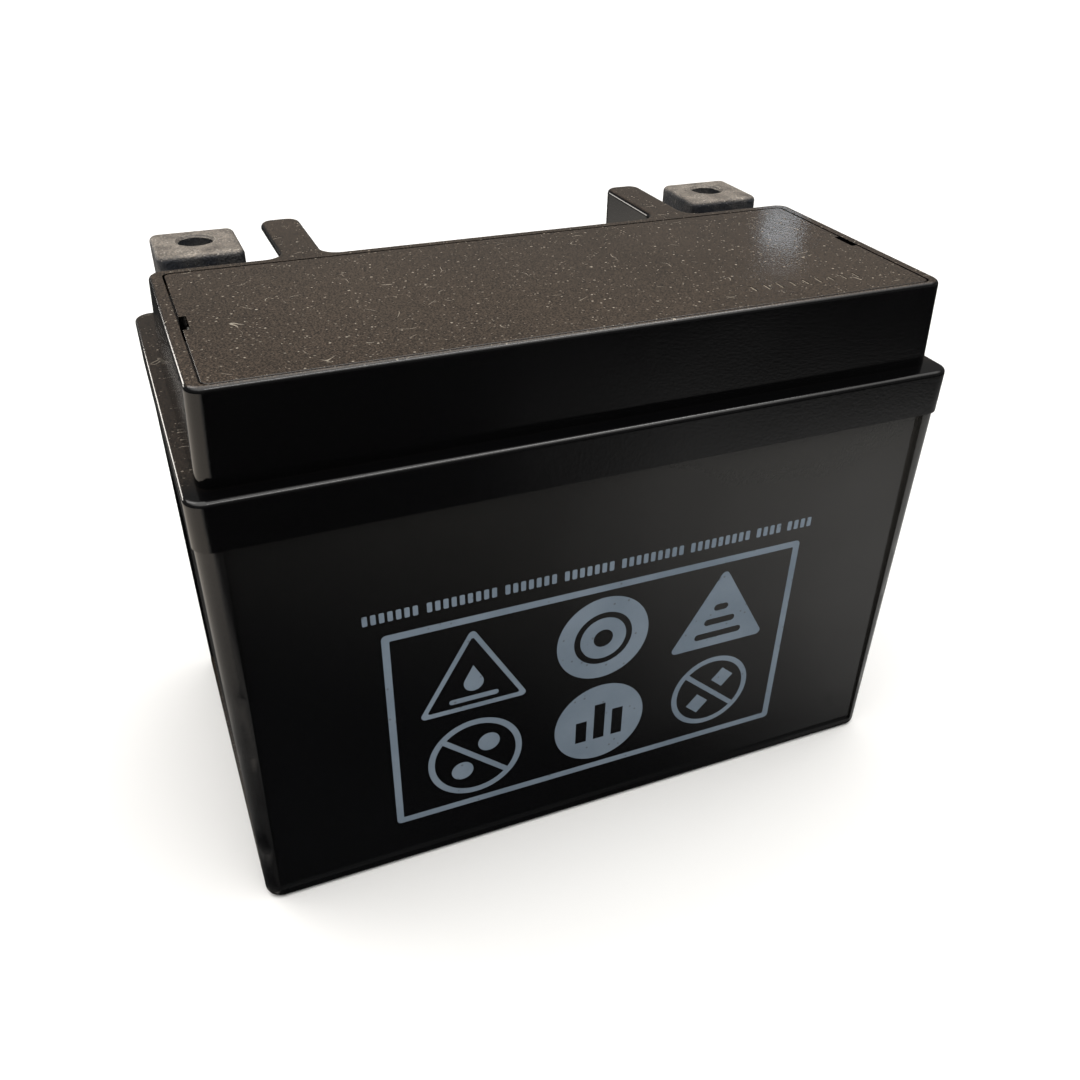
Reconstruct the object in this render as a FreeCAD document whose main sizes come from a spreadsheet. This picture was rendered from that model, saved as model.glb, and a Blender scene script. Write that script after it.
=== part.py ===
"""Sealed lead-acid motorcycle battery, 12 V, six cells.

Frame: millimetres, +Z up, origin at the middle of the footprint on the standing face.
+X runs along the long side, -Y faces the printed front panel, the terminals stand at the +Y side.
The positive terminal and cell 1 are at the +X end, and the cells count down towards -X.
"""
import FreeCAD, Part
import math
import os
import Sketcher

DIMENSIONS = {
    # whole battery
    "length": 150.0,
    "width": 87.0,
    "corner_radius": 3.5,
    # case
    "seam_height": 87.5,
    "rim_proud": 0.3,
    "case_draft": 0.35,
    "case_wall": 2.2,
    "case_floor": 2.5,
    "case_bottom_round": 1.5,
    "panel_margin": 2.7,
    "panel_top_margin": 4.0,
    "panel_foot": 2.5,
    "panel_depth": 0.6,
    "foot_recess": 0.8,
    "foot_border": 3.0,
    # cells
    "cell_count": 6,
    "partition": 1.6,
    "cell_corner": 1.2,
    # cover
    "rim_height": 9.2,
    "rim_round": 0.9,
    "deck": 2.5,
    "plateau_end_margin": 2.65,
    "plateau_draft": 1.0,
    "plateau_front_margin": 4.1,
    "plateau_height": 17.3,
    "bay_depth": 26.3,
    "plateau_corner": 3.0,
    "top_round": 0.95,
    "lip_end": 2.4,
    "lip_front": 1.05,
    "lip_back": 2.5,
    "ledge": 1.5,
    # arms beside the terminals
    "arm_gap": 5.95,
    "arm_width": 8.4,
    "arm_plate": 1.2,
    "arm_wall": 2.2,
    "arm_tip_margin": 0.1,
    "arm_tip_radius": 2.8,
    "arm_root_radius": 3.6,
    # vent cover and valves
    "vent_cover_thickness": 2.0,
    "vent_cover_gap": 0.15,
    "vent_cover_front_gap": 0.06,
    "vent_cover_corner": 1.5,
    "vent_cover_round": 0.15,
    "notch_width": 1.5,
    "notch_length": 6.3,
    "chimney_radius": 4.2,
    "chimney_bore": 2.5,
    "chimney_height": 8.5,
    "cap_wall": 1.3,
    "cap_skirt": 6.0,
    "cap_round": 0.8,
    "cap_gap": 0.15,
    "cap_lift": 0.5,
    "stop_radius": 3.6,
    "vent_groove": 3.0,
    "filter_length": 2.4,
    "filter_depth": 14.0,
    "filter_height": 3.5,
    # terminals
    "terminal_end_margin": 6.05,
    "terminal_rear_margin": 2.6,
    "terminal_width": 17.3,
    "terminal_depth": 16.6,
    "terminal_corner": 1.8,
    "terminal_round": 1.2,
    "terminal_plate": 4.0,
    "bore_radius": 3.5,
    "bore_chamfer": 0.55,
    "bore_shift": 1.2,
    "bore_relief": 4.5,
    "shank_radius": 5.0,
    "bush_radius": 7.5,
    "bush_wall": 1.6,
    "bush_height": 6.0,
    "potting_height": 3.0,
    # nuts
    "nut_width": 10.0,
    "nut_height": 5.0,
    "nut_bore": 2.55,
    "nut_chamfer": 0.5,
    "nut_side_gap": 0.2,
    "nut_top_gap": 0.25,
    # plate packs
    "plate_side_gap": 2.15,
    "head_space": 17.5,
    "positive_thickness": 1.9,
    "negative_thickness": 1.4,
    "separator_thickness": 0.85,
    "separator_overhang": 1.5,
    "lug_width": 9.0,
    "lug_height": 5.0,
    "strap_depth": 11.0,
    "strap_thickness": 4.0,
    "strap_end_gap": 1.4,
    "flag_thickness": 2.5,
    "flag_height": 7.0,
    "weld_radius": 3.2,
    # polarity marks
    "mark_size": 5.0,
    "mark_stroke": 1.1,
    "mark_height": 0.4,
    "mark_gap": 3.4,
    # row of strokes engraved on the vent cover
    "tick_count": 9,
    "tick_pitch": 2.9,
    "tick_length": 2.6,
    "tick_width": 0.5,
    "tick_depth": 0.15,
    "tick_end_margin": 12.0,
    "tick_front_margin": 8.0,
    # assembly clearance between still parts, and the run of a cut or a pad past a face
    "still_gap": 0.05,
    "overlap": 1.0,
}

# Places worked out from the sheet: names in braces are cells of the sheet.
SHOULDER = "({seam_height} + {rim_height})"
TOP = f"({SHOULDER} + {{plateau_height}})"
DECK_UNDER = f"({SHOULDER} - {{deck}})"
CASE_LENGTH = "({length} - 2 * {rim_proud} - 2 * {case_draft})"
CASE_WIDTH = "({width} - 2 * {rim_proud} - 2 * {case_draft})"
CELLS_LENGTH = f"({CASE_LENGTH} - 2 * {{case_wall}})"
CELL_WIDTH = f"(({CELLS_LENGTH} - ({{cell_count}} - 1) * {{partition}}) / {{cell_count}})"
CELL_DEPTH = f"({CASE_WIDTH} - 2 * {{case_wall}})"
CELL_PITCH = f"({CELL_WIDTH} + {{partition}})"
FIRST_CELL = f"(({{cell_count}} - 1) / 2 * {CELL_PITCH})"
PLATEAU_LENGTH = "({length} - 2 * {plateau_end_margin})"
PLATEAU_TOP_LENGTH = f"({PLATEAU_LENGTH} - 2 * {{plateau_draft}})"
PLATEAU_FRONT = "(-{width} / 2 + {plateau_front_margin})"
PLATEAU_BACK = "({width} / 2 - {bay_depth})"
PLATEAU_DEPTH = f"({PLATEAU_BACK} - {PLATEAU_FRONT})"
SEAT_LENGTH = f"({PLATEAU_TOP_LENGTH} - 2 * {{lip_end}})"
SEAT_DEPTH = f"({PLATEAU_DEPTH} - {{lip_front}} - {{lip_back}})"
SEAT_MIDDLE = f"({PLATEAU_FRONT} + {{lip_front}} + {SEAT_DEPTH} / 2)"
SEAT_FLOOR = f"({TOP} - {{vent_cover_thickness}})"
WELL_LENGTH = f"({SEAT_LENGTH} - 2 * {{ledge}})"
WELL_DEPTH = f"({SEAT_DEPTH} - 2 * {{ledge}})"
VENT_COVER_LENGTH = f"({SEAT_LENGTH} - 2 * {{vent_cover_gap}})"
VENT_COVER_DEPTH = f"({SEAT_DEPTH} - {{vent_cover_gap}} - {{vent_cover_front_gap}})"
VENT_COVER_MIDDLE = f"({SEAT_MIDDLE} - ({{vent_cover_gap}} - {{vent_cover_front_gap}}) / 2)"
CHIMNEY_TOP = f"({SHOULDER} + {{chimney_height}})"
CAP_RADIUS = "({chimney_radius} + {cap_gap} + {cap_wall})"
CAP_TOP = f"({CHIMNEY_TOP} + {{still_gap}} + {{cap_wall}})"
TERMINAL_OFFSET = "({length} / 2 - {terminal_end_margin} - {terminal_width} / 2)"
TERMINAL_REAR = "({width} / 2 - {terminal_rear_margin})"
TERMINAL_MIDDLE = f"({TERMINAL_REAR} - {{terminal_depth}} / 2)"
BORE_MIDDLE = f"({TERMINAL_MIDDLE} + {{bore_shift}})"
ARM_OUTER = f"({TERMINAL_OFFSET} - {{terminal_width}} / 2 - {{arm_gap}})"
ARM_INNER = f"({ARM_OUTER} - {{arm_width}})"
ARM_TIP = "({width} / 2 - {arm_tip_margin})"
SLOT_TOP = f"({TOP} - {{terminal_plate}})"
SLOT_HEIGHT = "({nut_height} + {nut_top_gap})"
SLOT_WIDTH = "({nut_width} + 2 * {nut_side_gap})"
SLOT_FRONT = f"({BORE_MIDDLE} - {SLOT_WIDTH} / 2)"
NUT_FLOOR = f"({SLOT_TOP} - {SLOT_HEIGHT} + {{still_gap}})"
PLATE_DEPTH = f"({CELL_DEPTH} - 2 * {{plate_side_gap}})"
PLATE_TOP = "({seam_height} - {head_space})"
PLATE_SPACING = (
    "({positive_thickness} + {negative_thickness} + 2 * {separator_thickness} + 4 * {still_gap})"
)
POSITIVE_COUNT = f"floor(({CELL_WIDTH} - {{negative_thickness}}) / {PLATE_SPACING})"
PLATE_COUNT = {"positive": POSITIVE_COUNT, "negative": f"({POSITIVE_COUNT} + 1)"}
PLATE_BOTTOM = {
    "positive": "({case_floor} + 2 * {still_gap} + {separator_thickness})",
    "negative": "({case_floor} + {still_gap})",
}
STRAP_BOTTOM = f"({PLATE_TOP} + {{lug_height}})"
STRAP_TOP = f"({STRAP_BOTTOM} + {{strap_thickness}})"
STRAP_LENGTH = f"({CELL_WIDTH} - 2 * {{strap_end_gap}})"
WELD_HEIGHT = f"({STRAP_TOP} + {{flag_height}} / 2)"

TOLERANCE = 0.01
QUARTER_TURN = 90.0
SIDES = {"positive": 1, "negative": -1}

doc = FreeCAD.newDocument("battery")
sheet = doc.addObject("Spreadsheet::Sheet", "Dims")
for row, (alias, number) in enumerate(DIMENSIONS.items(), start=1):
    sheet.set(f"A{row}", alias)
    sheet.set(f"B{row}", str(number))
    sheet.setAlias(f"B{row}", alias)
doc.recompute()


def cells(text):
    """The expression with its braces turned into references to the sheet."""
    return str(text).replace("{", "Dims.").replace("}", "")


def value(text):
    """The number that an expression gives now."""
    return float(sheet.evalExpression(cells(text)))


def bind(item, prop, text):
    """Tie a property of a document object to an expression over the sheet."""
    item.setExpression(prop, cells(text))


def new_body(label, x="0", y="0", z="0"):
    """An empty body whose placement follows the sheet."""
    body = doc.addObject("PartDesign::Body", label)
    body.Label = label
    for axis, text in (("x", x), ("y", y), ("z", z)):
        bind(body, f"Placement.Base.{axis}", text)
    return body


def origin_feature(body, role):
    """One of the body's own origin planes or axes, found by its role."""
    return next(item for item in body.Origin.OriginFeatures if item.Role == role)


def new_sketch(body, plane, offset):
    """An empty sketch on an origin plane, moved by three expressions along the sketch's own axes."""
    sketch = body.newObject("Sketcher::SketchObject", "Sketch")
    sketch.AttachmentSupport = [(origin_feature(body, plane), "")]
    sketch.MapMode = "FlatFace"
    for axis, text in zip("xyz", offset):
        bind(sketch, f"AttachmentOffset.Base.{axis}", text)
    return sketch


def add_datum(sketch, kind, name, text, *places):
    """A named dimension of the given kind between places in the sketch, tied to the sheet."""
    index = sketch.addConstraint(Sketcher.Constraint(kind, *places, value(text)))
    sketch.renameConstraint(index, name)
    bind(sketch, f"Constraints.{name}", text)


def rectangle(body, plane, offset, size, radius=None):
    """A rectangle centred on the sketch's origin, its corners rounded where a radius is given."""
    sketch = new_sketch(body, plane, offset)
    half_u, half_v = value(size[0]) / 2, value(size[1]) / 2
    corner = value(radius) if radius else 0.0
    if radius:
        corners = ((-1, -1), (1, -1), (1, 1), (-1, 1))
        for turn, (u, v) in enumerate(corners):
            middle = FreeCAD.Vector(u * (half_u - corner), v * (half_v - corner), 0)
            circle = Part.Circle(middle, FreeCAD.Vector(0, 0, 1), corner)
            quarter = math.pi / 2
            start = math.pi + turn * quarter
            sketch.addGeometry(Part.ArcOfCircle(circle, start, start + quarter))
        for turn in range(4):
            following = (turn + 1) % 4
            first = sketch.getPoint(turn, 2)
            second = sketch.getPoint(following, 1)
            sketch.addGeometry(Part.LineSegment(first, second))
        for turn in range(4):
            line = 4 + turn
            sketch.addConstraint(Sketcher.Constraint("Tangent", turn, 2, line, 1))
            sketch.addConstraint(Sketcher.Constraint("Tangent", line, 2, (turn + 1) % 4, 1))
            direction = "Horizontal" if turn % 2 == 0 else "Vertical"
            sketch.addConstraint(Sketcher.Constraint(direction, line))
        for turn in range(1, 4):
            sketch.addConstraint(Sketcher.Constraint("Equal", 0, turn))
        sketch.addConstraint(Sketcher.Constraint("Symmetric", 0, 3, 2, 3, -1, 1))
        add_datum(sketch, "Radius", "corner", radius, 0)
        add_datum(sketch, "DistanceX", "size_u", f"{size[0]} - 2 * {radius}", 0, 3, 1, 3)
        add_datum(sketch, "DistanceY", "size_v", f"{size[1]} - 2 * {radius}", 1, 3, 2, 3)
        return sketch
    points = [
        FreeCAD.Vector(u * half_u, v * half_v, 0) for u, v in ((-1, -1), (1, -1), (1, 1), (-1, 1))
    ]
    for turn in range(4):
        sketch.addGeometry(Part.LineSegment(points[turn], points[(turn + 1) % 4]))
    for turn in range(4):
        sketch.addConstraint(Sketcher.Constraint("Coincident", turn, 2, (turn + 1) % 4, 1))
        direction = "Horizontal" if turn % 2 == 0 else "Vertical"
        sketch.addConstraint(Sketcher.Constraint(direction, turn))
    sketch.addConstraint(Sketcher.Constraint("Symmetric", 0, 1, 2, 1, -1, 1))
    add_datum(sketch, "DistanceX", "size_u", size[0], 0, 1, 0, 2)
    add_datum(sketch, "DistanceY", "size_v", size[1], 1, 1, 1, 2)
    return sketch


def circle(body, plane, offset, radius):
    """A circle about the sketch's origin."""
    sketch = new_sketch(body, plane, offset)
    sketch.addGeometry(
        Part.Circle(FreeCAD.Vector(0, 0, 0), FreeCAD.Vector(0, 0, 1), value(radius))
    )
    sketch.addConstraint(Sketcher.Constraint("Coincident", 0, 3, -1, 1))
    add_datum(sketch, "Radius", "radius", radius, 0)
    return sketch


def trapezium(body, plane, offset, bottom, top, height):
    """A symmetric trapezium that stands on the sketch's horizontal axis."""
    sketch = new_sketch(body, plane, offset)
    half_bottom, half_top, rise = value(bottom) / 2, value(top) / 2, value(height)
    points = [
        FreeCAD.Vector(-half_bottom, 0, 0),
        FreeCAD.Vector(half_bottom, 0, 0),
        FreeCAD.Vector(half_top, rise, 0),
        FreeCAD.Vector(-half_top, rise, 0),
    ]
    for turn in range(4):
        sketch.addGeometry(Part.LineSegment(points[turn], points[(turn + 1) % 4]))
    for turn in range(4):
        sketch.addConstraint(Sketcher.Constraint("Coincident", turn, 2, (turn + 1) % 4, 1))
    sketch.addConstraint(Sketcher.Constraint("Symmetric", 0, 1, 0, 2, -1, 1))
    sketch.addConstraint(Sketcher.Constraint("Symmetric", 2, 1, 2, 2, -2))
    add_datum(sketch, "DistanceX", "bottom", bottom, 0, 1, 0, 2)
    add_datum(sketch, "DistanceX", "top", top, 2, 2, 2, 1)
    add_datum(sketch, "DistanceY", "rise", height, 1, 1, 1, 2)
    return sketch


def extrude(body, sketch, length, kind="Pad", backwards=False):
    """A pad or pocket of a sketch. A pad runs along the sketch's normal and a pocket against it."""
    feature = body.newObject(f"PartDesign::{kind}", kind)
    feature.Profile = sketch
    bind(feature, "Length", length)
    feature.Reversed = backwards
    sketch.Visibility = False
    body.Tip = feature
    return feature


def pad(body, sketch, length, backwards=False):
    """Material added along the sketch's normal, or against it when backwards."""
    return extrude(body, sketch, length, "Pad", backwards)


def pocket(body, sketch, length, backwards=False):
    """Material cut against the sketch's normal, or along it when backwards."""
    return extrude(body, sketch, length, "Pocket", backwards)


def row_along_x(body, features, spacing, count):
    """The features repeated along +X."""
    pattern = body.newObject("PartDesign::LinearPattern", "Row")
    pattern.Originals = features
    pattern.Direction = (origin_feature(body, "X_Axis"), [""])
    bind(pattern, "Length", f"{spacing} * ({count} - 1)")
    bind(pattern, "Occurrences", count)
    body.Tip = pattern
    return pattern


def dress(body, kind, base, prop, size, wanted):
    """A fillet or chamfer on the edges of base that the test picks."""
    doc.recompute()
    names = [
        f"Edge{number}" for number, edge in enumerate(base.Shape.Edges, start=1) if wanted(edge)
    ]
    if not names:
        raise RuntimeError(f"{body.Label}: no edge to {kind.lower()}")
    feature = body.newObject(f"PartDesign::{kind}", kind)
    feature.Base = (base, names)
    bind(feature, prop, size)
    body.Tip = feature
    return feature


def fillet(body, base, radius, wanted):
    """Rounded edges."""
    return dress(body, "Fillet", base, "Radius", radius, wanted)


def chamfer(body, base, size, wanted):
    """Bevelled edges."""
    return dress(body, "Chamfer", base, "Size", size, wanted)


def near(first, second):
    """Two lengths are the same within the tolerance of the drawing."""
    return abs(first - second) < TOLERANCE


def flat_at(edge, height):
    """The edge lies wholly at one height."""
    box = edge.BoundBox
    return near(box.ZMin, height) and near(box.ZMax, height)


def upright(edge):
    """The edge rises further than it runs sideways."""
    box = edge.BoundBox
    return box.ZLength > max(box.XLength, box.YLength)


def make_case():
    """The container: six cells in a row, shallow panels outside and weld holes in the partitions."""
    body = new_body("case")
    outline = rectangle(
        body, "XY_Plane", ("0", "0", "0"), (CASE_LENGTH, CASE_WIDTH), "{corner_radius}"
    )
    block = pad(body, outline, "{seam_height}")
    bind(block, "TaperAngle", "atan({case_draft} / {seam_height})")
    fillet(body, block, "{case_bottom_round}", lambda edge: flat_at(edge, 0))
    for side in (1, -1):
        cut_panel(body, "XZ_Plane", side, CASE_LENGTH, CASE_WIDTH)
        cut_panel(body, "YZ_Plane", side, CASE_WIDTH, CASE_LENGTH)
    cell = rectangle(
        body,
        "XY_Plane",
        (f"-{FIRST_CELL}", "0", "{seam_height}"),
        (CELL_WIDTH, CELL_DEPTH),
        "{cell_corner}",
    )
    hollow = pocket(body, cell, "{seam_height} - {case_floor}")
    row_along_x(body, [hollow], CELL_PITCH, "{cell_count}")
    foot = rectangle(
        body,
        "XY_Plane",
        (f"-{FIRST_CELL}", "0", "0"),
        (f"{CELL_WIDTH} - {{foot_border}}", f"{CELL_DEPTH} - 2 * {{foot_border}}"),
        "{cell_corner}",
    )
    recess = pocket(body, foot, "{foot_recess}", backwards=True)
    row_along_x(body, [recess], CELL_PITCH, "{cell_count}")
    for index in range(int(value("{cell_count}")) - 1):
        hole = circle(
            body,
            "YZ_Plane",
            (weld_side(index), WELD_HEIGHT, f"{partition_x(index)} + {{partition}}"),
            "{weld_radius} + {still_gap}",
        )
        pocket(body, hole, "2 * {partition}")


def cut_panel(body, plane, side, across, through):
    """The shallow recess of one wall, a little narrower at its top, that runs out below the rim."""
    outline = trapezium(
        body,
        plane,
        ("0", "{panel_foot}", f"{side} * ({through} / 2 - {{panel_depth}})"),
        f"{across} - 2 * {{panel_margin}}",
        f"{across} - 2 * {{panel_top_margin}}",
        "{seam_height} - {panel_foot}",
    )
    pocket(body, outline, "{panel_depth} + {case_draft} + {overlap}", backwards=side > 0)


def partition_x(index):
    """The middle of a partition, counted from the positive end."""
    return f"({FIRST_CELL} - ({index} + 0.5) * {CELL_PITCH})"


def weld_side(index):
    """The welds lie at the front and at the back by turns, the first one at the front."""
    sign = -1 if index % 2 == 0 else 1
    return f"({sign} * {TERMINAL_MIDDLE})"


def make_cover():
    """The lid: rim, shoulder, plateau with its well, arms, chimneys and terminal bushes."""
    body = new_body("cover")
    outline = rectangle(
        body,
        "XY_Plane",
        ("0", "0", "{seam_height}"),
        ("{length}", "{width}"),
        "{corner_radius}",
    )
    rim = pad(body, outline, "{rim_height}")
    shoulder = value(SHOULDER)
    fillet(body, rim, "{rim_round}", lambda edge: flat_at(edge, shoulder))
    add_plateau(body)
    add_arms(body)
    undercut_arms(body)
    cut_well(body)
    cut_cell_tops(body)
    add_chimneys(body)
    for name, side in SIDES.items():
        add_bush(body, side)
        add_mark(body, name, side)


def add_plateau(body):
    """The raised block at the front of the cover, its ends leaning in."""
    profile = trapezium(
        body,
        "XZ_Plane",
        ("0", SHOULDER, f"-{PLATEAU_FRONT}"),
        PLATEAU_LENGTH,
        PLATEAU_TOP_LENGTH,
        "{plateau_height}",
    )
    block = pad(body, profile, PLATEAU_DEPTH, backwards=True)
    front, back = value(PLATEAU_FRONT), value(PLATEAU_BACK)
    half = value(PLATEAU_LENGTH) / 2 - value("{plateau_draft}") / 2

    def is_corner(edge):
        middle = edge.BoundBox.Center
        return upright(edge) and near(abs(middle.x), half) and (
            near(middle.y, front) or near(middle.y, back)
        )

    fillet(body, block, "{plateau_corner}", is_corner)


def add_arms(body):
    """Two barriers beside the terminals, rounded at their tips and into the plateau."""
    buried = "(2 * {arm_tip_radius})"
    foot = f"({SHOULDER} - {{rim_round}})"
    for side in (1, -1):
        outline = rectangle(
            body,
            "XY_Plane",
            (
                f"{side} * ({ARM_INNER} + {{arm_width}} / 2)",
                f"({PLATEAU_BACK} + {ARM_TIP} - {buried}) / 2",
                foot,
            ),
            ("{arm_width}", f"{ARM_TIP} - {PLATEAU_BACK} + {buried}"),
            "{arm_tip_radius}",
        )
        pad(body, outline, f"{TOP} - {foot}")
    faces = (value(ARM_INNER), value(ARM_OUTER))
    back, height = value(PLATEAU_BACK), value(TOP)

    def is_root(edge):
        middle = edge.BoundBox.Center
        return upright(edge) and near(middle.y, back) and any(
            near(abs(middle.x), face) for face in faces
        )

    roots = fillet(body, body.Tip, "{arm_root_radius}", is_root)
    fillet(body, roots, "{top_round}", lambda edge: flat_at(edge, height))


def undercut_arms(body):
    """The space under each arm's flat top, open towards the terminal."""
    reach = "({arm_width} - {arm_wall} + {arm_root_radius})"
    for side in (1, -1):
        space = rectangle(
            body,
            "XY_Plane",
            (
                f"{side} * ({ARM_INNER} + {{arm_wall}} + {reach} / 2)",
                f"({PLATEAU_BACK} + {{width}} / 2) / 2",
                SHOULDER,
            ),
            (reach, f"{{width}} / 2 - {PLATEAU_BACK}"),
        )
        pocket(body, space, "{plateau_height} - {arm_plate}", backwards=True)


def cut_well(body):
    """The seat of the vent cover, the well below it and a groove under each notch for the gas."""
    seat = rectangle(
        body,
        "XY_Plane",
        ("0", SEAT_MIDDLE, TOP),
        (SEAT_LENGTH, SEAT_DEPTH),
        "{vent_cover_corner}",
    )
    pocket(body, seat, "{vent_cover_thickness}")
    well = rectangle(
        body,
        "XY_Plane",
        ("0", SEAT_MIDDLE, SEAT_FLOOR),
        (WELL_LENGTH, WELL_DEPTH),
        "{vent_cover_corner}",
    )
    pocket(body, well, f"{SEAT_FLOOR} - {SHOULDER}")
    for side in (1, -1):
        groove = rectangle(
            body,
            "XY_Plane",
            (f"{side} * {WELL_LENGTH} / 2", SEAT_MIDDLE, SEAT_FLOOR),
            ("2 * {ledge}", "{notch_length}"),
        )
        pocket(body, groove, "{vent_groove}")


def cut_cell_tops(body):
    """The head space of each cell, which leaves a rib over each partition."""
    cell = rectangle(
        body,
        "XY_Plane",
        (f"-{FIRST_CELL}", "0", "{seam_height}"),
        (CELL_WIDTH, CELL_DEPTH),
        "{cell_corner}",
    )
    hollow = pocket(body, cell, "{rim_height} - {deck}", backwards=True)
    row_along_x(body, [hollow], CELL_PITCH, "{cell_count}")


def add_chimneys(body):
    """One vent chimney over each cell, open through the deck."""
    tube = circle(
        body,
        "XY_Plane",
        (f"-{FIRST_CELL}", SEAT_MIDDLE, f"{SHOULDER} - {{deck}} / 2"),
        "{chimney_radius}",
    )
    chimney = pad(body, tube, "{chimney_height} + {deck} / 2")
    row_along_x(body, [chimney], CELL_PITCH, "{cell_count}")
    bore = circle(
        body,
        "XY_Plane",
        (f"-{FIRST_CELL}", SEAT_MIDDLE, CHIMNEY_TOP),
        "{chimney_bore}",
    )
    vent = pocket(body, bore, f"{CHIMNEY_TOP} - {DECK_UNDER} + {{overlap}}")
    row_along_x(body, [vent], CELL_PITCH, "{cell_count}")


def add_bush(body, side):
    """The tube under the deck that holds a terminal's shank, its seal and its potting."""
    place = (f"{side} * {TERMINAL_OFFSET}", TERMINAL_MIDDLE)
    tube = circle(
        body, "XY_Plane", (*place, f"{DECK_UNDER} + {{deck}} / 2"), "{bush_radius} + {bush_wall}"
    )
    pad(body, tube, "{bush_height} + {deck} / 2", backwards=True)
    cavity = circle(
        body, "XY_Plane", (*place, f"{DECK_UNDER} - {{bush_height}}"), "{bush_radius}"
    )
    pocket(body, cavity, "{bush_height}", backwards=True)
    passage = circle(body, "XY_Plane", (*place, SHOULDER), "{shank_radius} + {still_gap}")
    pocket(body, passage, "{deck}")


def add_mark(body, name, side):
    """The raised polarity sign on the floor of a terminal's bay."""
    place = (
        f"{side} * ({TERMINAL_OFFSET} - {{terminal_width}} / 2 - {{mark_gap}})",
        TERMINAL_MIDDLE,
        SHOULDER,
    )
    bar = rectangle(body, "XY_Plane", place, ("{mark_size}", "{mark_stroke}"))
    pad(body, bar, "{mark_height}")
    if name == "positive":
        post = rectangle(body, "XY_Plane", place, ("{mark_stroke}", "{mark_size}"))
        pad(body, post, "{mark_height}")


def make_vent_cover():
    """The flush plate over the valves, with a notch at each end and a stop over each valve."""
    body = new_body("vent_cover")
    outline = rectangle(
        body,
        "XY_Plane",
        ("0", VENT_COVER_MIDDLE, f"{SEAT_FLOOR} + {{still_gap}}"),
        (VENT_COVER_LENGTH, VENT_COVER_DEPTH),
        "{vent_cover_corner} - {vent_cover_gap}",
    )
    plate = pad(body, outline, "{vent_cover_thickness} - {still_gap}")
    height = value(TOP)
    fillet(body, plate, "{vent_cover_round}", lambda edge: flat_at(edge, height))
    for side in (1, -1):
        notch = rectangle(
            body,
            "XY_Plane",
            (f"{side} * {VENT_COVER_LENGTH} / 2", SEAT_MIDDLE, TOP),
            ("2 * {notch_width}", "{notch_length}"),
        )
        pocket(body, notch, "{vent_cover_thickness}")
    pin = circle(
        body,
        "XY_Plane",
        (f"-{FIRST_CELL}", SEAT_MIDDLE, f"{SEAT_FLOOR} + {{vent_cover_thickness}} / 2"),
        "{stop_radius}",
    )
    stop = pad(
        body,
        pin,
        f"{SEAT_FLOOR} + {{vent_cover_thickness}} / 2 - {CAP_TOP} - {{cap_lift}} - {{still_gap}}",
        backwards=True,
    )
    row_along_x(body, [stop], CELL_PITCH, "{cell_count}")
    add_ticks(body)


def add_ticks(body):
    """A plain row of shallow strokes engraved near the front corner of the vent cover."""
    row = "(({tick_count} - 1) * {tick_pitch})"
    first = rectangle(
        body,
        "XY_Plane",
        (
            f"{VENT_COVER_LENGTH} / 2 - {{tick_end_margin}} - {row}",
            f"{PLATEAU_FRONT} + {{lip_front}} + {{tick_front_margin}}",
            TOP,
        ),
        ("{tick_width}", "{tick_length}"),
    )
    stroke = pocket(body, first, "{tick_depth}")
    row_along_x(body, [stroke], "{tick_pitch}", "{tick_count}")


def make_valve_cap(number):
    """The rubber cap that closes one chimney."""
    body = new_body(
        f"valve_cap_{number}", f"{FIRST_CELL} - {number - 1} * {CELL_PITCH}", SEAT_MIDDLE, "0"
    )
    skirt_bottom = f"({CAP_TOP} - {{cap_wall}} - {{cap_skirt}})"
    outside = circle(body, "XY_Plane", ("0", "0", skirt_bottom), CAP_RADIUS)
    block = pad(body, outside, "{cap_skirt} + {cap_wall}")
    top = value(CAP_TOP)
    fillet(body, block, "{cap_round}", lambda edge: flat_at(edge, top))
    inside = circle(body, "XY_Plane", ("0", "0", skirt_bottom), "{chimney_radius} + {cap_gap}")
    pocket(body, inside, "{cap_skirt}", backwards=True)


def make_vent_filter(name, side):
    """The felt pad that stops sparks, held under the vent cover where the gas leaves the well."""
    box = doc.addObject("Part::Box", name)
    box.Label = name
    bind(box, "Length", "{filter_length}")
    bind(box, "Width", "{filter_depth}")
    bind(box, "Height", "{filter_height}")
    reach = f"({WELL_LENGTH} / 2 - {{still_gap}} - {{filter_length}})"
    start = reach if side > 0 else f"(-{reach} - {{filter_length}})"
    bind(box, "Placement.Base.x", start)
    bind(box, "Placement.Base.y", f"{SEAT_MIDDLE} - {{filter_depth}} / 2")
    bind(box, "Placement.Base.z", f"{SEAT_FLOOR} - {{filter_height}}")


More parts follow.
